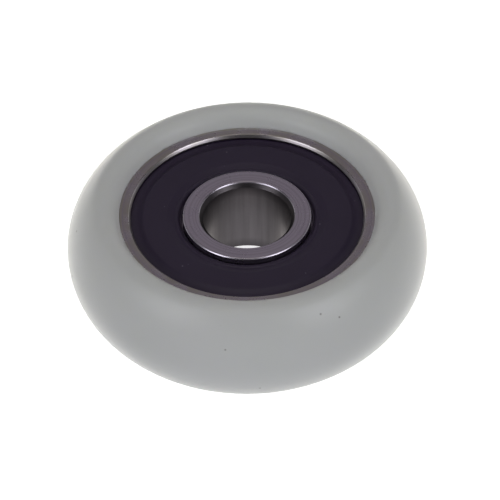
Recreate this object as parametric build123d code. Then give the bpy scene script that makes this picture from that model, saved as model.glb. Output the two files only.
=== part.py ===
from build123d import *
import os

# Crowned nylon roller moulded round a sealed deep groove ball bearing, which is a
# bore-mounted cam follower. Millimetres. +Z runs along the bore, and the origin is the
# centre of the bearing. Outlines are drawn as (radius, height) and turned about +Z.

# ---- Driving dimensions -------------------------------------------------------------

# Bearing: boundary sizes and rolling elements
bore_diameter = 6.0
bearing_diameter = 19.0
ball_diameter = 3.5
ball_count = 6
groove_conformity = 0.52      # radius of the ball groove over the diameter of the ball
ball_clearance = 0.02         # from the ball to the bottom of either groove
ring_corner_chamfer = 0.3     # corners of the bore and of the outside diameter

# Inner ring
inner_face_width = 1.38       # from the bore to the land that the seal runs beside
land_edge_break = 0.07
inner_shoulder_height = 0.47  # shoulder above the bottom of the inner ball groove

# Outer ring
outer_face_width = 1.59       # from the outside diameter to the seal's mouth
mouth_edge_break = 0.17
outer_shoulder_height = 0.32  # shoulder above the bottom of the outer ball groove
seal_groove_depth = 0.42      # undercut behind the mouth that the seal snaps into
seal_groove_wall = 0.32       # height of the straight wall of the undercut
seal_groove_ramp = 0.18       # height of the sloping wall that holds the seal down

# Seals: a rubber moulding bonded on a steel stiffening ring
seal_recess = 0.2             # flat of the seal below the faces of the rings
seal_thickness = 0.6
seal_rim_clearance = 0.02     # between the rim of the seal and the walls of its groove
rim_channel_width = 0.8       # shallow dished channel between the mouth and the flat
rim_channel_depth = 0.165
lip_gap = 0.27                # open gap between the bead and the land of the inner ring
lip_width = 0.3               # raised bead at the edge of the lip
lip_slope_width = 0.5         # slope from the flat of the seal down to the bead
lip_slope_depth = 0.13
lip_bead_height = 0.05
lip_clearance = 0.04          # between the underside of the lip and the inner shoulder
tongue_clearance = 0.06       # from the land to the thin tongue below the bead
tongue_thickness = 0.28
seal_lap = 0.15               # least lap of a seal over the shoulder of either ring
stiffener_sheet = 0.2
stiffener_inset = 0.4         # rubber beyond the stiffener at the lip and at the rim
stiffener_flange = 0.1        # how far the turned-up rim stands above the web

# Cage: two pressed ribbons riveted together round the balls
cage_sheet = 0.3
pocket_clearance = 0.05       # between a ball and its pocket
cage_side_clearance = 0.45    # between the ribbon and the shoulders of the rings
cage_seal_gap = 0.1           # between the top of a pocket and the seal
rivet_shank_radius = 0.3
rivet_hole_clearance = 0.01
rivet_head_radius = 0.5
rivet_head_height = 0.22

# Nylon tyre
tyre_wall = 2.75              # nylon over the outside diameter, at the middle of the tread
lip_lap = 0.82                # how far the tyre laps over each face of the outer ring
lip_wall_rise = 1.4           # height of the sloping wall over the face, to its sharp crest
lip_wall_run = 0.78           # radial run of the sloping wall, to its sharp crest
crest_round = 1.1

# ---- Sizes that follow --------------------------------------------------------------

bore_radius = bore_diameter / 2
bearing_radius = bearing_diameter / 2
ball_radius = ball_diameter / 2
pitch_radius = (bore_radius + bearing_radius) / 2

# The width is the ball and, on each side of it, the cage, a gap, the seal and its recess.
pocket_radius = ball_radius + pocket_clearance
pocket_outer_radius = pocket_radius + cage_sheet
seal_bottom = pocket_outer_radius + cage_seal_gap
seal_top = seal_bottom + seal_thickness
half_width = seal_top + seal_recess

groove_radius = groove_conformity * ball_diameter
land_radius = bore_radius + inner_face_width
mouth_radius = bearing_radius - outer_face_width
undercut_radius = mouth_radius + seal_groove_depth
undercut_top = seal_bottom + seal_groove_wall
ramp_top = undercut_top + seal_groove_ramp

lip_radius = land_radius + lip_gap
tongue_radius = land_radius + tongue_clearance
tongue_top = seal_bottom + tongue_thickness
rim_radius = undercut_radius - seal_rim_clearance
stiffener_inner_radius = lip_radius + stiffener_inset
stiffener_outer_radius = rim_radius - stiffener_inset

# Each shoulder reaches under the seal, however far from the seal its groove lies.
inner_groove_bottom = pitch_radius - ball_radius - ball_clearance
outer_groove_bottom = pitch_radius + ball_radius + ball_clearance
inner_shoulder_radius = max(inner_groove_bottom + inner_shoulder_height, lip_radius + seal_lap)
outer_shoulder_radius = min(
    outer_groove_bottom - outer_shoulder_height, stiffener_outer_radius - seal_lap
)

tyre_radius = bearing_radius + tyre_wall
lap_radius = bearing_radius - lip_lap
sharp_crest = (lap_radius + lip_wall_run, half_width + lip_wall_rise)


# ---- Helpers ------------------------------------------------------------------------

def mirrored(points):
    """The same points below the middle plane, from last to first."""
    return [(radius, -height) for radius, height in reversed(points)]


def turned(outline):
    """The solid that an outline of (radius, height) sweeps about the bore's axis."""
    return revolve(Plane.XZ * make_face(outline), Axis.Z)


def ball_places():
    return PolarLocations(pitch_radius, ball_count)


def rivet_places():
    """Halfway between the balls."""
    return PolarLocations(pitch_radius, ball_count, start_angle=180 / ball_count)


# ---- Rings --------------------------------------------------------------------------

def inner_ring():
    """Chamfered bore, a stepped land beside each seal, and the inner ball groove."""
    upper = [
        (bore_radius, half_width - ring_corner_chamfer),
        (bore_radius + ring_corner_chamfer, half_width),
        (land_radius - land_edge_break, half_width),
        (land_radius, half_width - land_edge_break),
        (land_radius, seal_bottom - lip_clearance),
        (inner_shoulder_radius, seal_bottom - lip_clearance),
    ]
    blank = turned(Polyline(*upper, *mirrored(upper), close=True))
    return blank - Torus(inner_groove_bottom + groove_radius, groove_radius)


def outer_ring():
    """Outer ball groove, a ledge and an undercut for each seal, and chamfered corners."""
    upper = [
        (outer_shoulder_radius, seal_bottom),
        (undercut_radius, seal_bottom),
        (undercut_radius, undercut_top),
        (mouth_radius, ramp_top),
        (mouth_radius, half_width - mouth_edge_break),
        (mouth_radius + mouth_edge_break, half_width),
        (bearing_radius - ring_corner_chamfer, half_width),
        (bearing_radius, half_width - ring_corner_chamfer),
    ]
    blank = turned(Polyline(*upper, *mirrored(upper), close=True))
    return blank - Torus(outer_groove_bottom - groove_radius, groove_radius)


# ---- Seals --------------------------------------------------------------------------

def seal_stiffener():
    """Flat steel web with a turned-up rim, bonded into the underside of the rubber."""
    web_top = seal_bottom + stiffener_sheet
    flange_top = web_top + stiffener_flange
    flange_inner_radius = stiffener_outer_radius - stiffener_sheet
    return turned(Polyline(
        (stiffener_inner_radius, seal_bottom),
        (stiffener_outer_radius, seal_bottom),
        (stiffener_outer_radius, flange_top),
        (flange_inner_radius, flange_top),
        (flange_inner_radius, web_top),
        (stiffener_inner_radius, web_top),
        close=True,
    ))


def seal_rubber():
    """Snap-in rim, dished channel, flat, slope, beaded lip and, under it, a thin tongue."""
    channel_outer = (
        mouth_radius - seal_rim_clearance, ramp_top - seal_rim_clearance - seal_groove_ramp / 4
    )
    channel_inner = (channel_outer[0] - rim_channel_width, seal_top)
    channel_middle = (channel_outer[0] - rim_channel_width / 2, seal_top - rim_channel_depth)
    bead_radius = lip_radius + lip_width
    bead_foot = seal_top - lip_slope_depth
    bead_top = bead_foot + lip_bead_height
    underside = Polyline(
        (tongue_radius, seal_bottom),
        (rim_radius, seal_bottom),
        (rim_radius, undercut_top - seal_rim_clearance),
        channel_outer,
    )
    channel = ThreePointArc(channel_outer, channel_middle, channel_inner)
    lip = Polyline(
        channel_inner,
        (bead_radius + lip_slope_width, seal_top),
        (bead_radius, bead_foot),
        (bead_radius - lip_width / 3, bead_top),
        (lip_radius + lip_width / 3, bead_top),
        (lip_radius, bead_foot - lip_bead_height),
        (lip_radius, tongue_top),
        (tongue_radius, tongue_top),
        (tongue_radius, seal_bottom),
    )
    return turned(underside + channel + lip) - seal_stiffener()


# ---- Cage and balls -----------------------------------------------------------------

def cage_half():
    """Upper ribbon: flat between the balls and domed over each of them."""
    ribbon_inner_radius = inner_shoulder_radius + cage_side_clearance
    ribbon_outer_radius = outer_shoulder_radius - cage_side_clearance
    on_middle_plane = (Align.CENTER, Align.CENTER, Align.MIN)
    flat_ring = Cylinder(ribbon_outer_radius, cage_sheet, align=on_middle_plane)
    dome_band = Cylinder(ribbon_outer_radius, pocket_outer_radius, align=on_middle_plane)
    hub_space = Cylinder(ribbon_inner_radius, 3 * pocket_outer_radius)
    domes = [place * Sphere(pocket_outer_radius) for place in ball_places()]
    pockets = [place * Sphere(pocket_radius) for place in ball_places()]
    holes = [
        place * Cylinder(rivet_shank_radius + rivet_hole_clearance, 3 * cage_sheet)
        for place in rivet_places()
    ]
    ribbon = flat_ring
    for dome in domes:
        ribbon += dome & dome_band
    return ribbon - hub_space - pockets - holes


def cage_rivet():
    """Shank through both ribbons, with a low domed head on each."""
    dome_radius = (rivet_head_radius**2 + rivet_head_height**2) / (2 * rivet_head_height)
    dome = Pos(Z=cage_sheet + rivet_head_height - dome_radius) * Sphere(dome_radius)
    upper_head = split(dome, bisect_by=Plane.XY.offset(cage_sheet), keep=Keep.TOP)
    shank = Cylinder(rivet_shank_radius, 2 * cage_sheet)
    return shank + upper_head + mirror(upper_head, Plane.XY)


# ---- Tyre ---------------------------------------------------------------------------

def tyre():
    """Crowned tread, one arc from crest to crest, and a rounded lip round each bearing face."""
    upper = [
        (bearing_radius, half_width - ring_corner_chamfer),
        (bearing_radius - ring_corner_chamfer, half_width),
        (lap_radius, half_width),
        sharp_crest,
    ]
    lower = mirrored(upper)
    crown = ThreePointArc(upper[-1], (tyre_radius, 0), lower[0])
    profile = make_face(Polyline(*lower, *upper) + crown)
    crests = profile.vertices().sort_by(Axis.Y)
    wall_length = (lip_wall_run**2 + lip_wall_rise**2) ** 0.5
    rounded = fillet([crests[0], crests[-1]], min(crest_round, 0.7 * wall_length))
    return revolve(Plane.XZ * rounded, Axis.Z)


# ---- Assembly -----------------------------------------------------------------------

def save(name, solid):
    export_step(solid, f"parts/{name}.step")


os.makedirs("parts", exist_ok=True)

save("tyre", tyre())
save("outer_ring", outer_ring())
save("inner_ring", inner_ring())

upper_rubber = seal_rubber()
upper_stiffener = seal_stiffener()
save("upper_seal_rubber", upper_rubber)
save("upper_seal_stiffener", upper_stiffener)
save("lower_seal_rubber", mirror(upper_rubber, Plane.XY))
save("lower_seal_stiffener", mirror(upper_stiffener, Plane.XY))

upper_half = cage_half()
save("upper_cage_half", upper_half)
save("lower_cage_half", mirror(upper_half, Plane.XY))

for number, place in enumerate(rivet_places(), start=1):
    save(f"cage_rivet_{number}", place * cage_rivet())

for number, place in enumerate(ball_places(), start=1):
    save(f"ball_{number}", place * Sphere(ball_radius))
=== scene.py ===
import math

import bpy
from bpy.props import FloatProperty, FloatVectorProperty, IntProperty, PointerProperty
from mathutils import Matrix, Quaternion, Vector


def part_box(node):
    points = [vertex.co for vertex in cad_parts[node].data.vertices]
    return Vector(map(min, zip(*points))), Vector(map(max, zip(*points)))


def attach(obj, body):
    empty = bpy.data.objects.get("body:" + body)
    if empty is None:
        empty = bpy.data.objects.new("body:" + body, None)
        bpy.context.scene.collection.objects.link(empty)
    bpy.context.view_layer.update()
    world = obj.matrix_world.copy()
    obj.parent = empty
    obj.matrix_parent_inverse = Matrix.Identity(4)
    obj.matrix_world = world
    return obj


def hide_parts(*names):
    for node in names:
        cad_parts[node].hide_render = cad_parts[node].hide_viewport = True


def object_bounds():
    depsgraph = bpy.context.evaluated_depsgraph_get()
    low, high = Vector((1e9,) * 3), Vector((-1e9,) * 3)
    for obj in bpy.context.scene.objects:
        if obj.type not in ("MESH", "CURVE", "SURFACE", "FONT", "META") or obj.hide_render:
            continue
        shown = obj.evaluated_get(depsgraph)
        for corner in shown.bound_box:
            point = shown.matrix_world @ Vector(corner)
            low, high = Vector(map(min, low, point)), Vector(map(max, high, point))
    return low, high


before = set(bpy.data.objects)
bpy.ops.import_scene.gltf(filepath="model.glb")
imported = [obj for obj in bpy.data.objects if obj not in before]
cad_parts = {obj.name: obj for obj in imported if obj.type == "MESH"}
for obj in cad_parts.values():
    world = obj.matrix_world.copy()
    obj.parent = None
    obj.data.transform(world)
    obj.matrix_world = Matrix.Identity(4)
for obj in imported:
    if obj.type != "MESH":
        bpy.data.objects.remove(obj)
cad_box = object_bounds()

bl_info = {
    "name": "Crowned nylon cam follower",
    "version": (1, 0, 0),
    "blender": (4, 5, 0),
    "location": "3D View > Sidebar > Cam follower",
    "description": "Nylon roller moulded round a sealed ball bearing, on a luminous white table",
    "category": "Object",
}

MM = 0.001
TINY = 0.002 * MM

# Points along each arc of an outline, both ends included
CREST_POINTS = 17
CROWN_POINTS = 41
GROOVE_POINTS = 17
CHANNEL_POINTS = 13


# ---- What the frame says --------------------------------------------------------------

def radii_at(node, height):
    """Smallest and largest radius of a turned CAD node's corners at one height."""
    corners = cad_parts[node].data.vertices
    radii = [math.hypot(c.co.x, c.co.y) for c in corners if abs(c.co.z - height) < TINY]
    return min(radii), max(radii)


def radii_of(node):
    """Smallest and largest radius of a turned CAD node."""
    radii = [math.hypot(c.co.x, c.co.y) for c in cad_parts[node].data.vertices]
    return min(radii), max(radii)


def heights_at(node, radius):
    """Lowest and highest corner above the middle plane of a turned CAD node, at one radius."""
    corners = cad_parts[node].data.vertices
    heights = [c.co.z for c in corners if abs(math.hypot(c.co.x, c.co.y) - radius) < TINY]
    return min(z for z in heights if z > 0), max(heights)


BORE_RADIUS, INNER_SHOULDER = radii_of("inner_ring")
OUTER_SHOULDER, BEARING_RADIUS = radii_of("outer_ring")
BEARING_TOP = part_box("outer_ring")[1].z
LAND_FACE = radii_at("inner_ring", BEARING_TOP)[1]
MOUTH_FACE = radii_at("outer_ring", BEARING_TOP)[0]
TYRE_RADIUS = radii_of("tyre")[1]
LAP_RADIUS = radii_at("tyre", BEARING_TOP)[0]
TONGUE_RADIUS, RIM_RADIUS = radii_of("upper_seal_rubber")
SEAL_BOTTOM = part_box("upper_seal_rubber")[0].z
SEAL_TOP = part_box("upper_seal_rubber")[1].z
FLAT_INNER, FLAT_OUTER = radii_at("upper_seal_rubber", SEAL_TOP)
STIFFENER_INNER, STIFFENER_OUTER = radii_of("upper_seal_stiffener")
STIFFENER_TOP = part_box("upper_seal_stiffener")[1].z
BALL_RADIUS = (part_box("ball_1")[1].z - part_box("ball_1")[0].z) / 2
FLOOR_HEIGHT = cad_box[0].z


# ---- Sizes and colours ----------------------------------------------------------------

def linear(hex_colour):
    """Linear RGBA of an sRGB hex colour."""
    channels = [int(hex_colour[i:i + 2], 16) / 255 for i in (1, 3, 5)]
    return tuple(
        c / 12.92 if c <= 0.04045 else ((c + 0.055) / 1.055) ** 2.4 for c in channels
    ) + (1.0,)


def colour(name, description, hex_colour):
    return FloatVectorProperty(
        name=name, description=description, subtype="COLOR", size=4,
        min=0, max=1, default=linear(hex_colour),
    )


def size(name, description, millimetres):
    return FloatProperty(
        name=name, description=description, unit="LENGTH", precision=6,
        min=0, default=millimetres * MM,
    )


class FollowerSizes(bpy.types.PropertyGroup):
    steps: IntProperty(
        name="Steps round", description="Faces round each turned piece", default=240, min=48,
    )
    wall_run: size("Lip wall run", "Radial run of the nylon lip's wall to its sharp crest", 0.78)
    wall_rise: size("Lip wall rise", "Height of the nylon lip's wall to its sharp crest", 1.4)
    crest_round: size("Crest round", "Radius that rounds the crest of the nylon lip", 1.1)
    ring_chamfer: size("Ring chamfer", "Chamfer of the bore and outside corners", 0.3)
    ring_edge: size("Ring edge", "Radius of the broken edges of the ground rings", 0.06)
    land_break: size("Land edge break", "Chamfer beside the seal on the inner ring", 0.07)
    mouth_break: size("Mouth edge break", "Chamfer beside the seal on the outer ring", 0.17)
    groove_ratio: FloatProperty(
        name="Groove conformity", description="Ball groove radius over the ball's diameter",
        default=0.52, min=0.505, max=0.6,
    )
    snap_wall: size("Snap groove wall", "Straight wall of the groove that holds a seal", 0.32)
    snap_ramp: size("Snap groove ramp", "Sloping wall that holds a seal down", 0.18)
    seal_gap: size("Seal rim gap", "Clearance round the rim of a seal", 0.02)
    channel_depth: size("Channel depth", "Depth of the dished channel at a seal's rim", 0.165)
    bead_width: size("Bead width", "Width of the bead at a seal's lip", 0.36)
    bead_drop: size("Bead drop", "Foot of the bead below the flat of the seal", 0.13)
    bead_height: size("Bead height", "Height of the bead over its foot", 0.05)
    tongue_gap: size("Tongue gap", "Clearance from a seal's tongue to the inner ring", 0.06)
    tongue: size("Tongue thickness", "Thickness of the tongue under a seal's bead", 0.34)
    lip_gap: size("Lip gap", "Open gap between the bead and the inner ring", 0.21)
    sheet: size("Stiffener sheet", "Sheet thickness of the stiffening rings", 0.2)
    rubber_edge: size("Rubber edge", "Radius of the rounded edges of the seals", 0.05)
    channel_edge: size("Channel edge", "Radius where the channel meets the flat", 0.45)


class FollowerColours(bpy.types.PropertyGroup):
    nylon: colour("Nylon", "Natural moulded nylon", "#CBCBCC")
    nylon_tint: colour("Nylon cloud", "Slightly greener clouds in the nylon", "#C8CAC9")
    dirt: colour("Dirt", "Dark specks on the nylon", "#5A5650")
    dust: colour("Dust", "Pale specks on the rubber", "#7A7480")
    ring: colour("Ring steel", "Ground faces of the bearing rings", "#BAB3C0")
    ring_stain: colour("Ring stain", "Brownish film on the ground faces", "#ABA69F")
    ring_line: colour("Ring line", "Deeper grinding lines", "#A39CA7")
    # Painted shade: a dark colour laid on the chamfers and in the bore towards its mouths
    painted_shade: colour("Painted shade", "Painted shade on chamfers and in the bore's mouths", "#474346")
    bore: colour("Bore steel", "Honed and oiled surface of the bore", "#6A6567")
    bore_streak: colour("Bore streak", "Brighter honing streaks along the bore", "#787375")
    rubber: colour("Rubber", "Nitrile rubber of the seals", "#23192E")
    rubber_bloom: colour("Rubber bloom", "Faint bloom on the rubber", "#2A1F36")
    sheet: colour("Pressed sheet", "Cold-rolled sheet of the cage and stiffeners", "#9A9893")
    ball: colour("Ball steel", "Lapped balls", "#CFCFD2")
    floor: colour("Floor", "Luminous white table", "#F4F4F4")


# ---- Modelling ------------------------------------------------------------------------

def deselect_all():
    for obj in bpy.context.selected_objects:
        obj.select_set(False)


def mirrored(points):
    """The same corners below the middle plane, from last to first."""
    return [(corner[0], -corner[1], *corner[2:]) for corner in reversed(points)]


def arc(centre, radius, start, end, count):
    """Points on an arc in the (radius, height) plane, angles in degrees, both ends included."""
    points = []
    for i in range(count):
        angle = math.radians(start + (end - start) * i / (count - 1))
        points.append((centre[0] + radius * math.cos(angle), centre[1] + radius * math.sin(angle)))
    return points


def arc_through(first, middle, last, count):
    """Points on the arc through three points, both ends included."""
    a, b, c = Vector(first), Vector(middle), Vector(last)
    twice = 2 * (a.x * (b.y - c.y) + b.x * (c.y - a.y) + c.x * (a.y - b.y))
    squares = a.length_squared, b.length_squared, c.length_squared
    centre = Vector((
        squares[0] * (b.y - c.y) + squares[1] * (c.y - a.y) + squares[2] * (a.y - b.y),
        squares[0] * (c.x - b.x) + squares[1] * (a.x - c.x) + squares[2] * (b.x - a.x),
    )) / twice
    start = math.degrees(math.atan2(a.y - centre.y, a.x - centre.x))
    end = math.degrees(math.atan2(c.y - centre.y, c.x - centre.x))
    end += 360 * round((start - end) / 360)
    return arc(centre, (a - centre).length, start, end, count)


def rounded(outline, count=5):
    """A closed outline whose corners of (radius, height, round) are replaced by small arcs.

    An arc takes less than half of the shorter side beside it, so that no two arcs meet.
    """
    points = []
    for i, corner in enumerate(outline):
        here = Vector(corner[:2])
        if len(corner) == 2:
            points.append(here)
            continue
        back = Vector(outline[i - 1][:2]) - here
        on = Vector(outline[(i + 1) % len(outline)][:2]) - here
        half = back.angle(on) / 2
        reach = min(corner[2] / math.tan(half), 0.49 * back.length, 0.49 * on.length)
        first, last = here + back.normalized() * reach, here + on.normalized() * reach
        middle = here + (back.normalized() + on.normalized()).normalized() * (
            reach / math.cos(half) - reach * math.tan(half)
        )
        points.extend(Vector(point) for point in arc_through(first, middle, last, count))
    return points


def turn(name, outline, steps):
    """A closed piece turned about the bore, from a closed outline of corners."""
    points = rounded(outline)
    deselect_all()
    radius, height = points[0]
    bpy.ops.mesh.primitive_circle_add(
        vertices=steps, radius=radius, fill_type="NOTHING", location=(0, 0, height)
    )
    piece = bpy.context.active_object
    piece.name = piece.data.name = name
    bpy.ops.object.transform_apply(location=True, rotation=False, scale=False)
    bpy.ops.object.mode_set(mode="EDIT")
    bpy.ops.mesh.select_all(action="SELECT")
    for next_radius, next_height in points[1:]:
        bpy.ops.mesh.extrude_edges_move(
            TRANSFORM_OT_translate={"value": (0, 0, next_height - height)}
        )
        share = next_radius / radius
        bpy.ops.transform.resize(value=(share, share, 1), center_override=(0, 0, 0))
        radius, height = next_radius, next_height
    bpy.ops.mesh.select_all(action="DESELECT")
    bpy.ops.mesh.select_non_manifold()
    bpy.ops.mesh.bridge_edge_loops()
    bpy.ops.mesh.select_all(action="SELECT")
    bpy.ops.mesh.normals_make_consistent(inside=False)
    bpy.ops.object.mode_set(mode="OBJECT")
    bpy.ops.object.shade_smooth_by_angle(angle=math.radians(30))
    return piece


def cover(piece, body, slot, material, *nodes):
    """Gives a finished piece its material and body, and lets it stand for CAD nodes. The slot is
    not used.
    """
    piece.data.materials.clear()
    piece.data.materials.append(material)
    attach(piece, body)
    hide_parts(*nodes)


# ---- Materials ------------------------------------------------------------------------

def add_node(tree, kind, settings=None, links=None):
    """Adds a node with its settings and input values, and links nodes or outputs to it."""
    node = tree.nodes.new(kind)
    for key, value in (settings or {}).items():
        if isinstance(key, str) and hasattr(node, key):
            setattr(node, key, value)
        else:
            node.inputs[key].default_value = value
    for key, source in (links or {}).items():
        if isinstance(source, bpy.types.Node):
            source = next(output for output in source.outputs if output.enabled)
        tree.links.new(source, node.inputs[key])
    return node


def new_material(name):
    """An empty material, its tree and its Object coordinates."""
    material = bpy.data.materials.new(name)
    material.use_nodes = True
    tree = material.node_tree
    tree.nodes.clear()
    place = add_node(tree, "ShaderNodeTexCoord").outputs["Object"]
    return material, tree, place


def radius_and_height(tree, place):
    """Distance from the bore's axis, and height."""
    parts = add_node(tree, "ShaderNodeSeparateXYZ", links={0: place}).outputs
    flat = add_node(tree, "ShaderNodeCombineXYZ", links={0: parts[0], 1: parts[1]})
    radius = add_node(tree, "ShaderNodeVectorMath", {"operation": "LENGTH"}, {0: flat})
    return radius, parts[2]


def turned_lines(tree, radius, height, spacing, detail):
    """Noise that changes only across the lines that turning and grinding leave."""
    across = add_node(tree, "ShaderNodeMath", {"operation": "ADD"}, {0: radius, 1: height})
    return add_node(
        tree, "ShaderNodeTexNoise",
        {"noise_dimensions": "1D", "Scale": 1 / spacing, "Detail": detail, "Roughness": 0.7},
        {"W": across},
    )


def specks(tree, place, spacing, radius, share):
    """Scattered specks: 1 inside one and 0 outside, in a share of cells of the given size."""
    cells = add_node(
        tree, "ShaderNodeTexVoronoi", {"Scale": 1 / spacing}, {"Vector": place}
    ).outputs
    near = add_node(
        tree, "ShaderNodeMapRange",
        {"From Min": 0.5 * radius / spacing, "From Max": radius / spacing,
         "To Min": 1, "To Max": 0},
        {"Value": cells["Distance"]},
    )
    chosen = add_node(
        tree, "ShaderNodeMath", {"operation": "LESS_THAN", 1: share}, {0: cells["Color"]}
    )
    return add_node(tree, "ShaderNodeMath", {"operation": "MULTIPLY"}, {0: near, 1: chosen})


def moulded_nylon(colours):
    """Natural nylon 6, injection moulded: satin skin, light bleeding through the thin lip."""
    material, tree, place = new_material("moulded nylon")
    cloud_size, skin_grain, skin_depth = 6 * MM, 0.12 * MM, 0.004 * MM

    clouds = add_node(tree, "ShaderNodeTexNoise", {"Scale": 1 / cloud_size}, {"Vector": place})
    clouded = add_node(
        tree, "ShaderNodeMix",
        {"data_type": "RGBA", 6: colours.nylon, 7: colours.nylon_tint}, {0: clouds},
    )
    dirt = specks(tree, place, spacing=1.0 * MM, radius=0.1 * MM, share=0.3)
    darkening = add_node(tree, "ShaderNodeMapRange", {"To Max": 0.6}, {"Value": dirt})
    specked = add_node(
        tree, "ShaderNodeMix",
        {"data_type": "RGBA", 7: colours.dirt}, {0: darkening, 6: clouded},
    )

    # The skin's grain is drawn coarser than a mould's spark texture, so that it shows.
    skin = add_node(
        tree, "ShaderNodeTexNoise", {"Scale": 1 / skin_grain, "Detail": 3.0}, {"Vector": place}
    )
    satin = add_node(
        tree, "ShaderNodeMapRange", {"To Min": 0.36, "To Max": 0.48}, {"Value": skin}
    )
    relief = add_node(
        tree, "ShaderNodeBump", {"Strength": 0.25, "Distance": skin_depth}, {"Height": skin}
    )
    shader = add_node(
        tree, "ShaderNodeBsdfPrincipled",
        {"IOR": 1.6, "Subsurface Weight": 1.0, "Subsurface Radius": (1.0, 1.0, 0.9),
         "Subsurface Scale": 0.3 * MM},
        {"Base Color": specked, "Roughness": satin, "Normal": relief},
    )
    add_node(tree, "ShaderNodeOutputMaterial", links={"Surface": shader})
    return material


def ground_steel(colours):
    """Hardened bearing steel: faces ground in fine rings, painted shade on chamfers and in the
    bore's mouths, a honed bore.
    """
    material, tree, place = new_material("ground bearing steel")
    radius, height = radius_and_height(tree, place)
    level = add_node(tree, "ShaderNodeMath", {"operation": "ABSOLUTE"}, {0: height})
    between_rings = 6 * MM

    # Real grinding lines are a few micrometres wide, and are drawn as coarse as they need to show.
    coarse = turned_lines(tree, radius, height, spacing=0.16 * MM, detail=2.0)
    fine = turned_lines(tree, radius, height, spacing=0.05 * MM, detail=3.0)
    relief = add_node(
        tree, "ShaderNodeBump", {"Strength": 0.5, "Distance": 0.003 * MM}, {"Height": fine}
    )

    # A brownish film lies in patches on the outer ring, and leaves the inner ring clean.
    film_size, filmed_outside = 1.6 * MM, 8.2 * MM
    film = add_node(
        tree, "ShaderNodeTexNoise", {"Scale": 1 / film_size, "Detail": 4.0}, {"Vector": place}
    )
    patches = add_node(
        tree, "ShaderNodeMapRange",
        {"From Min": 0.35, "From Max": 0.6, "To Min": 0.3}, {"Value": film},
    )
    outward = add_node(
        tree, "ShaderNodeMapRange",
        {"From Min": between_rings, "From Max": filmed_outside}, {"Value": radius},
    )
    filmed = add_node(
        tree, "ShaderNodeMath", {"operation": "MULTIPLY"}, {0: patches, 1: outward}
    )
    face = add_node(
        tree, "ShaderNodeMix",
        {"data_type": "RGBA", 6: colours.ring, 7: colours.ring_stain}, {0: filmed},
    )
    between_lines = add_node(
        tree, "ShaderNodeMapRange", {"From Min": 0.3, "From Max": 0.5}, {"Value": coarse}
    )
    ground = add_node(
        tree, "ShaderNodeMix",
        {"data_type": "RGBA", 6: colours.ring_line}, {0: between_lines, 7: face},
    )

    # Painted shade below the ground faces: all of it on the bore's chamfer, half on the outer
    # ring.
    below_face = add_node(
        tree, "ShaderNodeMapRange",
        {"From Min": BEARING_TOP - 0.08 * MM, "From Max": BEARING_TOP - 0.04 * MM,
         "To Min": 1, "To Max": 0},
        {"Value": level},
    )
    by_bore = add_node(
        tree, "ShaderNodeMapRange",
        {"From Min": BORE_RADIUS + 0.4 * MM, "From Max": BORE_RADIUS + 0.5 * MM,
         "To Min": 1, "To Max": 0},
        {"Value": radius},
    )
    by_mouth = add_node(
        tree, "ShaderNodeMapRange",
        {"From Min": between_rings, "From Max": between_rings + 0.1 * MM, "To Max": 0.5},
        {"Value": radius},
    )
    by_chamfers = add_node(
        tree, "ShaderNodeMath", {"operation": "ADD"}, {0: by_bore, 1: by_mouth}
    )
    shade_and_roughness_mask = add_node(
        tree, "ShaderNodeMath", {"operation": "MULTIPLY"}, {0: below_face, 1: by_chamfers}
    )
    ground_with_shade = add_node(
        tree, "ShaderNodeMix",
        {"data_type": "RGBA", 7: colours.painted_shade}, {0: shade_and_roughness_mask, 6: ground},
    )

    # Honing leaves brighter streaks along the bore, and painted shade darkens it towards its two
    # mouths.
    streak_width, streak_stretch = 0.5 * MM, 0.05
    along_bore = add_node(
        tree, "ShaderNodeMapping", {"Scale": (1.0, 1.0, streak_stretch)}, {"Vector": place}
    )
    streaks = add_node(
        tree, "ShaderNodeTexNoise",
        {"Scale": 1 / streak_width, "Detail": 3.0}, {"Vector": along_bore},
    )
    streaked = add_node(
        tree, "ShaderNodeMapRange", {"From Min": 0.4, "From Max": 0.7}, {"Value": streaks}
    )
    wall = add_node(
        tree, "ShaderNodeMix",
        {"data_type": "RGBA", 6: colours.bore, 7: colours.bore_streak}, {0: streaked},
    )
    shade_at_mouths = add_node(
        tree, "ShaderNodeMapRange",
        {"From Min": BEARING_TOP - 1.1 * MM, "From Max": BEARING_TOP - 0.4 * MM, "To Max": 0.7},
        {"Value": level},
    )
    honed = add_node(
        tree, "ShaderNodeMix",
        {"data_type": "RGBA", 7: colours.painted_shade}, {0: shade_at_mouths, 6: wall},
    )
    in_bore = add_node(
        tree, "ShaderNodeMapRange",
        {"From Min": BORE_RADIUS + 0.01 * MM, "From Max": BORE_RADIUS + 0.03 * MM,
         "To Min": 1, "To Max": 0},
        {"Value": radius},
    )
    steel = add_node(
        tree, "ShaderNodeMix", {"data_type": "RGBA"}, {0: in_bore, 6: ground_with_shade, 7: honed}
    )

    smooth = add_node(
        tree, "ShaderNodeMapRange", {"To Min": 0.2, "To Max": 0.36}, {"Value": film}
    )
    duller = add_node(tree, "ShaderNodeMapRange", {"To Max": 0.1}, {"Value": shade_and_roughness_mask})
    rough = add_node(tree, "ShaderNodeMath", {"operation": "ADD"}, {0: smooth, 1: duller})
    shader = add_node(
        tree, "ShaderNodeBsdfPrincipled", {"Metallic": 1.0},
        {"Base Color": steel, "Roughness": rough, "Normal": relief},
    )
    add_node(tree, "ShaderNodeOutputMaterial", links={"Surface": shader})
    return material


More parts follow.
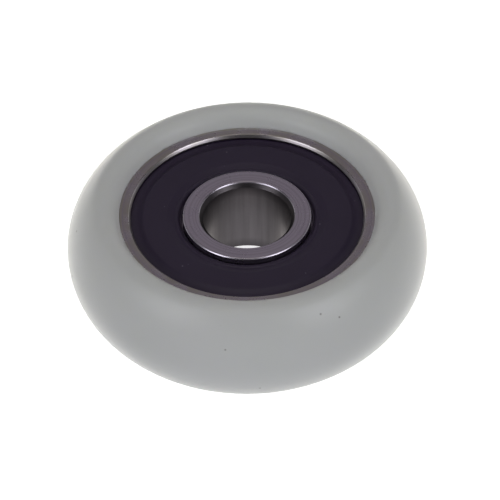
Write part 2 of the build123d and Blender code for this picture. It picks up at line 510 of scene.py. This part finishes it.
def nitrile_rubber(colours):
    """Black nitrile rubber, compression moulded: low sheen with a dusty bloom."""
    material, tree, place = new_material("nitrile rubber")
    bloom_size, skin_grain, skin_depth = 2.5 * MM, 0.1 * MM, 0.004 * MM

    bloom = add_node(
        tree, "ShaderNodeTexNoise", {"Scale": 1 / bloom_size, "Detail": 4.0}, {"Vector": place}
    )
    bloomed = add_node(
        tree, "ShaderNodeMix",
        {"data_type": "RGBA", 6: colours.rubber, 7: colours.rubber_bloom}, {0: bloom},
    )
    dust = specks(tree, place, spacing=0.8 * MM, radius=0.07 * MM, share=0.35)
    paling = add_node(tree, "ShaderNodeMapRange", {"To Max": 0.5}, {"Value": dust})
    dusty = add_node(
        tree, "ShaderNodeMix",
        {"data_type": "RGBA", 7: colours.dust}, {0: paling, 6: bloomed},
    )
    sheen = add_node(
        tree, "ShaderNodeMapRange", {"To Min": 0.42, "To Max": 0.56}, {"Value": bloom}
    )
    skin = add_node(tree, "ShaderNodeTexNoise", {"Scale": 1 / skin_grain}, {"Vector": place})
    relief = add_node(
        tree, "ShaderNodeBump", {"Strength": 0.3, "Distance": skin_depth}, {"Height": skin}
    )
    shader = add_node(
        tree, "ShaderNodeBsdfPrincipled", {"IOR": 1.42},
        {"Base Color": dusty, "Roughness": sheen, "Normal": relief},
    )
    add_node(tree, "ShaderNodeOutputMaterial", links={"Surface": shader})
    return material


def pressed_sheet(colours):
    """Cold-rolled steel sheet, pressed: an even grey with a faint rolled grain."""
    material, tree, place = new_material("pressed steel sheet")
    grain_width, grain_stretch, grain_depth = 0.6 * MM, 12.0, 0.003 * MM

    across_grain = add_node(
        tree, "ShaderNodeMapping", {"Scale": (1.0, grain_stretch, 1.0)}, {"Vector": place}
    )
    grain = add_node(
        tree, "ShaderNodeTexNoise",
        {"Scale": 1 / grain_width, "Detail": 4.0}, {"Vector": across_grain},
    )
    rolled = add_node(
        tree, "ShaderNodeMapRange", {"To Min": 0.28, "To Max": 0.45}, {"Value": grain}
    )
    relief = add_node(
        tree, "ShaderNodeBump", {"Strength": 0.2, "Distance": grain_depth}, {"Height": grain}
    )
    shader = add_node(
        tree, "ShaderNodeBsdfPrincipled", {"Metallic": 1.0, "Base Color": colours.sheet},
        {"Roughness": rolled, "Normal": relief},
    )
    add_node(tree, "ShaderNodeOutputMaterial", links={"Surface": shader})
    return material


def lapped_ball_steel(colours):
    """Bearing balls, lapped to a mirror, with a thin uneven film of grease."""
    material, tree, place = new_material("lapped ball steel")
    film_size = 0.8 * MM

    film = add_node(
        tree, "ShaderNodeTexNoise", {"Scale": 1 / film_size, "Detail": 3.0}, {"Vector": place}
    )
    greasy = add_node(
        tree, "ShaderNodeMapRange", {"To Min": 0.04, "To Max": 0.16}, {"Value": film}
    )
    shader = add_node(
        tree, "ShaderNodeBsdfPrincipled", {"Metallic": 1.0, "Base Color": colours.ball},
        {"Roughness": greasy},
    )
    add_node(tree, "ShaderNodeOutputMaterial", links={"Surface": shader})
    return material


def luminous_table(colours):
    """White acrylic light table: its own light keeps shadows off the pale floor."""
    material, tree, place = new_material("luminous white acrylic")
    wave_size = 80 * MM

    waves = add_node(tree, "ShaderNodeTexNoise", {"Scale": 1 / wave_size}, {"Vector": place})
    matt = add_node(
        tree, "ShaderNodeMapRange", {"To Min": 0.55, "To Max": 0.6}, {"Value": waves}
    )
    shader = add_node(
        tree, "ShaderNodeBsdfPrincipled",
        {"Base Color": colours.floor, "Emission Color": (1, 1, 1, 1), "Emission Strength": 0.7,
         "Specular IOR Level": 0.2},
        {"Roughness": matt},
    )
    add_node(tree, "ShaderNodeOutputMaterial", links={"Surface": shader})
    return material


# ---- Operators ------------------------------------------------------------------------

def settings():
    return bpy.context.scene.follower_sizes, bpy.context.scene.follower_colours


def ball_groove(shoulder, ledge, groove_radius, inward):
    """Arc of a ball groove between the ledges of a ring, from its upper ledge to its lower."""
    depth = math.sqrt(groove_radius**2 - ledge**2)
    reach = math.degrees(math.asin(ledge / groove_radius))
    if inward:
        return arc((shoulder + depth, 0), groove_radius, 180 - reach, 180 + reach, GROOVE_POINTS)
    return arc((shoulder - depth, 0), groove_radius, -reach, reach, GROOVE_POINTS)


class FOLLOWER_OT_tyre(bpy.types.Operator):
    """Crowned nylon tyre with a rounded lip round each face of the bearing"""
    bl_idname = "follower.tyre"
    bl_label = "Nylon tyre"

    def execute(self, context):
        sizes, colours = settings()
        lap_edge = Vector((LAP_RADIUS, BEARING_TOP))
        wall = Vector((sizes.wall_run, sizes.wall_rise))
        sharp_crest = lap_edge + wall
        drop = TYRE_RADIUS - sharp_crest.x
        crown_radius = (sharp_crest.y**2 + drop**2) / (2 * drop)
        crown_centre = Vector((TYRE_RADIUS - crown_radius, 0))

        # The crest is an arc that runs on smoothly from the wall and into the crown.
        up_wall = wall.normalized()
        into_nylon = Vector((up_wall.y, -up_wall.x))
        foot = lap_edge + into_nylon * sizes.crest_round - crown_centre
        along = foot.dot(up_wall)
        short = foot.length_squared - (crown_radius - sizes.crest_round)**2
        crest_centre = lap_edge + into_nylon * sizes.crest_round + up_wall * (
            math.sqrt(along**2 - short) - along
        )
        wall_end = math.degrees(math.atan2(-into_nylon.y, -into_nylon.x))
        crown_end = math.degrees(math.atan2(*reversed(crest_centre - crown_centre)))
        upper = [
            (BEARING_RADIUS, BEARING_TOP - sizes.ring_chamfer),
            (BEARING_RADIUS - sizes.ring_chamfer, BEARING_TOP),
            tuple(lap_edge),
            *arc(crest_centre, sizes.crest_round, wall_end, crown_end, CREST_POINTS),
        ]
        crown = arc(crown_centre, crown_radius, crown_end, -crown_end, CROWN_POINTS)
        piece = turn("nylon_tyre", upper + crown[1:-1] + mirrored(upper), sizes.steps)
        cover(piece, "roller", "moulded_nylon", moulded_nylon(colours), "tyre")
        return {"FINISHED"}


class FOLLOWER_OT_rings(bpy.types.Operator):
    """Ground inner and outer rings of the bearing, with their ball grooves"""
    bl_idname = "follower.rings"
    bl_label = "Bearing rings"

    def execute(self, context):
        sizes, colours = settings()
        steel = ground_steel(colours)
        groove_radius = 2 * BALL_RADIUS * sizes.groove_ratio
        edge = sizes.ring_edge
        land = LAND_FACE + sizes.land_break
        ledge, ledge_top = heights_at("inner_ring", INNER_SHOULDER)
        upper = [
            (BORE_RADIUS, BEARING_TOP - sizes.ring_chamfer, edge),
            (BORE_RADIUS + sizes.ring_chamfer, BEARING_TOP, edge),
            (LAND_FACE, BEARING_TOP, edge),
            (land, BEARING_TOP - sizes.land_break, edge),
            (land, ledge_top),
            (INNER_SHOULDER, ledge_top, edge),
        ]
        raceway = ball_groove(INNER_SHOULDER, ledge, groove_radius, inward=True)
        inner = turn("inner_ring_ground", upper + raceway + mirrored(upper), sizes.steps)
        cover(inner, "inner_ring_on_stud", "ground_bearing_steel", steel, "inner_ring")

        mouth = MOUTH_FACE - sizes.mouth_break
        undercut = RIM_RADIUS + sizes.seal_gap
        ledge = heights_at("outer_ring", OUTER_SHOULDER)[0]
        upper = [
            (OUTER_SHOULDER, SEAL_BOTTOM, edge),
            (undercut, SEAL_BOTTOM),
            (undercut, SEAL_BOTTOM + sizes.snap_wall),
            (mouth, SEAL_BOTTOM + sizes.snap_wall + sizes.snap_ramp, edge),
            (mouth, BEARING_TOP - sizes.mouth_break, edge),
            (MOUTH_FACE, BEARING_TOP, edge),
            (BEARING_RADIUS - sizes.ring_chamfer, BEARING_TOP),
            (BEARING_RADIUS, BEARING_TOP - sizes.ring_chamfer),
        ]
        raceway = ball_groove(OUTER_SHOULDER, ledge, groove_radius, inward=False)
        outer = turn("outer_ring_ground", upper + mirrored(upper) + raceway, sizes.steps)
        cover(outer, "roller", "ground_bearing_steel", steel, "outer_ring")
        return {"FINISHED"}


class FOLLOWER_OT_seals(bpy.types.Operator):
    """Rubber mouldings of both seals, with rim channel, slope, beaded lip and tongue"""
    bl_idname = "follower.seals"
    bl_label = "Seals"

    def execute(self, context):
        sizes, colours = settings()
        rubber = nitrile_rubber(colours)
        edge = sizes.rubber_edge
        lip = TONGUE_RADIUS - sizes.tongue_gap + sizes.lip_gap
        bead_foot = SEAL_TOP - sizes.bead_drop
        bead_top = bead_foot + sizes.bead_height
        snap_top = SEAL_BOTTOM + sizes.snap_wall - sizes.seal_gap
        ramp_share = 0.75
        channel_outer = (
            MOUTH_FACE - sizes.mouth_break - sizes.seal_gap,
            snap_top + ramp_share * sizes.snap_ramp,
        )
        channel_middle = (
            (channel_outer[0] + FLAT_OUTER) / 2, SEAL_TOP - sizes.channel_depth
        )
        channel = arc_through(
            channel_outer, channel_middle, (FLAT_OUTER, SEAL_TOP), CHANNEL_POINTS
        )
        outline = [
            (TONGUE_RADIUS, SEAL_BOTTOM, edge),
            (STIFFENER_INNER, SEAL_BOTTOM),
            (STIFFENER_INNER, SEAL_BOTTOM + sizes.sheet),
            (STIFFENER_OUTER - sizes.sheet, SEAL_BOTTOM + sizes.sheet),
            (STIFFENER_OUTER - sizes.sheet, STIFFENER_TOP),
            (STIFFENER_OUTER, STIFFENER_TOP),
            (STIFFENER_OUTER, SEAL_BOTTOM),
            (RIM_RADIUS, SEAL_BOTTOM, edge),
            (RIM_RADIUS, snap_top, edge),
            *channel[:-3],  # the rest is rounded off with the corner after it
            (FLAT_OUTER, SEAL_TOP, sizes.channel_edge),
            (FLAT_INNER, SEAL_TOP, sizes.channel_edge),
            (lip + sizes.bead_width, bead_foot, edge),
            (lip + sizes.bead_width * 2 / 3, bead_top, edge),
            (lip + sizes.bead_width / 3, bead_top, edge),
            (lip, bead_foot - sizes.bead_height, edge),
            (lip, SEAL_BOTTOM + sizes.tongue, edge),
            (TONGUE_RADIUS, SEAL_BOTTOM + sizes.tongue, edge),
        ]
        upper = turn("seal_moulding_upper", outline, sizes.steps)
        cover(upper, "roller", "nitrile_rubber", rubber, "upper_seal_rubber")
        lower = turn("seal_moulding_lower", mirrored(outline), sizes.steps)
        cover(lower, "roller", "nitrile_rubber", rubber, "lower_seal_rubber")
        return {"FINISHED"}


class FOLLOWER_OT_sealed_parts(bpy.types.Operator):
    """Finishes of the pieces that the seals hide: cage, rivets, stiffeners and balls"""
    bl_idname = "follower.sealed_parts"
    bl_label = "Cage, stiffeners and balls"

    def execute(self, context):
        colours = settings()[1]
        sheet, lapped = pressed_sheet(colours), lapped_ball_steel(colours)
        finishes = {"cage": sheet, "stiffener": sheet, "ball": lapped}
        for name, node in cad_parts.items():
            for word, material in finishes.items():
                if word in name:
                    node.data.materials.clear()
                    node.data.materials.append(material)
        return {"FINISHED"}


# Light of the studio by height: sine of the elevation, and brightness
HEIGHTS = (
    (-1.0, 0.88), (-0.6, 0.33), (-0.2, 0.61), (0.0, 0.61), (0.15, 0.02), (0.3, 0.6), (0.45, 0.08),
    (0.6, 0.02), (1.0, 0.02),
)

# Patches of light: direction, cosine at the edge and at the middle, colour
PATCHES = (
    ((-0.635, -0.47, 0.61), 0.95, 0.98, (3.2, 3.25, 3.35)),
    ((0.635, -0.47, 0.61), 0.95, 0.98, (3.5, 3.55, 3.65)),
    ((0.0, 0.72, 0.69), 0.88, 0.97, (0.22, 0.2, 0.22)),
    ((0.0, 0.05, 1.0), 0.9, 0.98, (1.16, 1.13, 1.02)),
    ((0.0, 0.75, -0.65), 0.5, 1.0, (0.92, 0.9, 0.82)),
    ((0.0, 0.87, -0.5), 0.75, 1.0, (0.98, 0.95, 0.85)),
    ((-0.7, 0.6, -0.4), 0.7, 1.0, (0.9, 0.88, 0.84)),
    ((0.7, 0.6, -0.4), 0.7, 1.0, (0.83, 0.81, 0.77)),
    ((0.0, -0.8, -0.6), 0.5, 1.0, (0.28, 0.29, 0.31)),
)


class FOLLOWER_OT_stage(bpy.types.Operator):
    """Luminous white table, soft studio light and the camera"""
    bl_idname = "follower.stage"
    bl_label = "Stage"

    def execute(self, context):
        colours = settings()[1]
        deselect_all()
        bpy.ops.mesh.primitive_plane_add(size=6.0, location=(0, 0, FLOOR_HEIGHT))
        floor = bpy.context.active_object
        floor.name = "table"
        floor.data.materials.append(luminous_table(colours))
        # The studio lights the part from below as well, and the floor isn't mirrored in it.
        floor.visible_diffuse = floor.visible_glossy = False
        self.surroundings(context.scene)
        self.camera(context.scene)
        context.scene.view_settings.view_transform = "Standard"
        return {"FINISHED"}

    def surroundings(self, scene):
        """A studio pale low down, dark above but for one pale band, with soft patches of light."""
        world = bpy.data.worlds.new("studio")
        world.use_nodes = True
        scene.world = world
        tree = world.node_tree
        tree.nodes.clear()
        direction = add_node(tree, "ShaderNodeTexCoord").outputs["Generated"]
        height = add_node(tree, "ShaderNodeSeparateXYZ", links={0: direction}).outputs[2]
        along_ramp = add_node(tree, "ShaderNodeMapRange", {"From Min": -1}, {"Value": height})
        ramp = add_node(tree, "ShaderNodeValToRGB", links={0: along_ramp})
        stops = ramp.color_ramp.elements
        for sine, _ in HEIGHTS[1:-1]:
            stops.new((sine + 1) / 2)
        for stop, (sine, brightness) in zip(stops, HEIGHTS):
            stop.position = (sine + 1) / 2
            stop.color = (brightness, brightness, brightness, 1)
        light = ramp
        for towards, edge, middle, glow in PATCHES:
            facing = add_node(
                tree, "ShaderNodeVectorMath",
                {"operation": "DOT_PRODUCT", 1: Vector(towards).normalized()}, {0: direction},
            )
            inside = add_node(
                tree, "ShaderNodeMapRange",
                {"From Min": edge, "From Max": middle}, {"Value": facing},
            )
            light = add_node(
                tree, "ShaderNodeVectorMath", {"operation": "MULTIPLY_ADD", 1: glow},
                {0: inside, 2: light},
            )
        background = add_node(tree, "ShaderNodeBackground", links={0: light})
        add_node(tree, "ShaderNodeOutputWorld", links={0: background})

    def camera(self, scene):
        """Long lens from above the front, with the part a little left of and above the middle."""
        elevation = math.radians(43.4)
        roll = math.radians(-0.6)
        distance = 600 * MM
        view_width = 34.04 * MM
        aside, below = 0.177 * MM, 0.218 * MM
        sensor_width = 36
        back = Vector((0, -math.cos(elevation), math.sin(elevation)))
        right = Vector((1, 0, 0))
        up = right.cross(-back)
        lens = bpy.data.cameras.new("camera")
        lens.sensor_width = sensor_width
        lens.lens = sensor_width * distance / view_width
        lens.clip_start, lens.clip_end = 0.01, 10
        holder = bpy.data.objects.new("camera", lens)
        aim = right * aside - up * below
        holder.location = aim + back * distance
        holder.rotation_mode = "QUATERNION"
        level = (-back).to_track_quat("-Z", "Y")
        holder.rotation_quaternion = level @ Quaternion((0, 0, 1), roll)
        scene.collection.objects.link(holder)
        scene.camera = holder


class FOLLOWER_PT_panel(bpy.types.Panel):
    """Buttons that make the pieces, and the sizes and colours they use"""
    bl_idname = "FOLLOWER_PT_panel"
    bl_label = "Cam follower"
    bl_space_type = "VIEW_3D"
    bl_region_type = "UI"
    bl_category = "Cam follower"

    def draw(self, context):
        for group in (context.scene.follower_sizes, context.scene.follower_colours):
            for name in group.__annotations__:
                self.layout.prop(group, name)
        for operator in OPERATORS:
            self.layout.operator(operator.bl_idname)


OPERATORS = (
    FOLLOWER_OT_stage,
    FOLLOWER_OT_tyre,
    FOLLOWER_OT_rings,
    FOLLOWER_OT_seals,
    FOLLOWER_OT_sealed_parts,
)
CLASSES = (FollowerSizes, FollowerColours, *OPERATORS, FOLLOWER_PT_panel)


def register():
    for cls in CLASSES:
        bpy.utils.register_class(cls)
    bpy.types.Scene.follower_sizes = PointerProperty(type=FollowerSizes)
    bpy.types.Scene.follower_colours = PointerProperty(type=FollowerColours)


def unregister():
    del bpy.types.Scene.follower_colours
    del bpy.types.Scene.follower_sizes
    for cls in reversed(CLASSES):
        bpy.utils.unregister_class(cls)


def main():
    register()
    bpy.ops.follower.stage()
    bpy.ops.follower.tyre()
    bpy.ops.follower.rings()
    bpy.ops.follower.seals()
    bpy.ops.follower.sealed_parts()


if __name__ == "__main__":
    main()
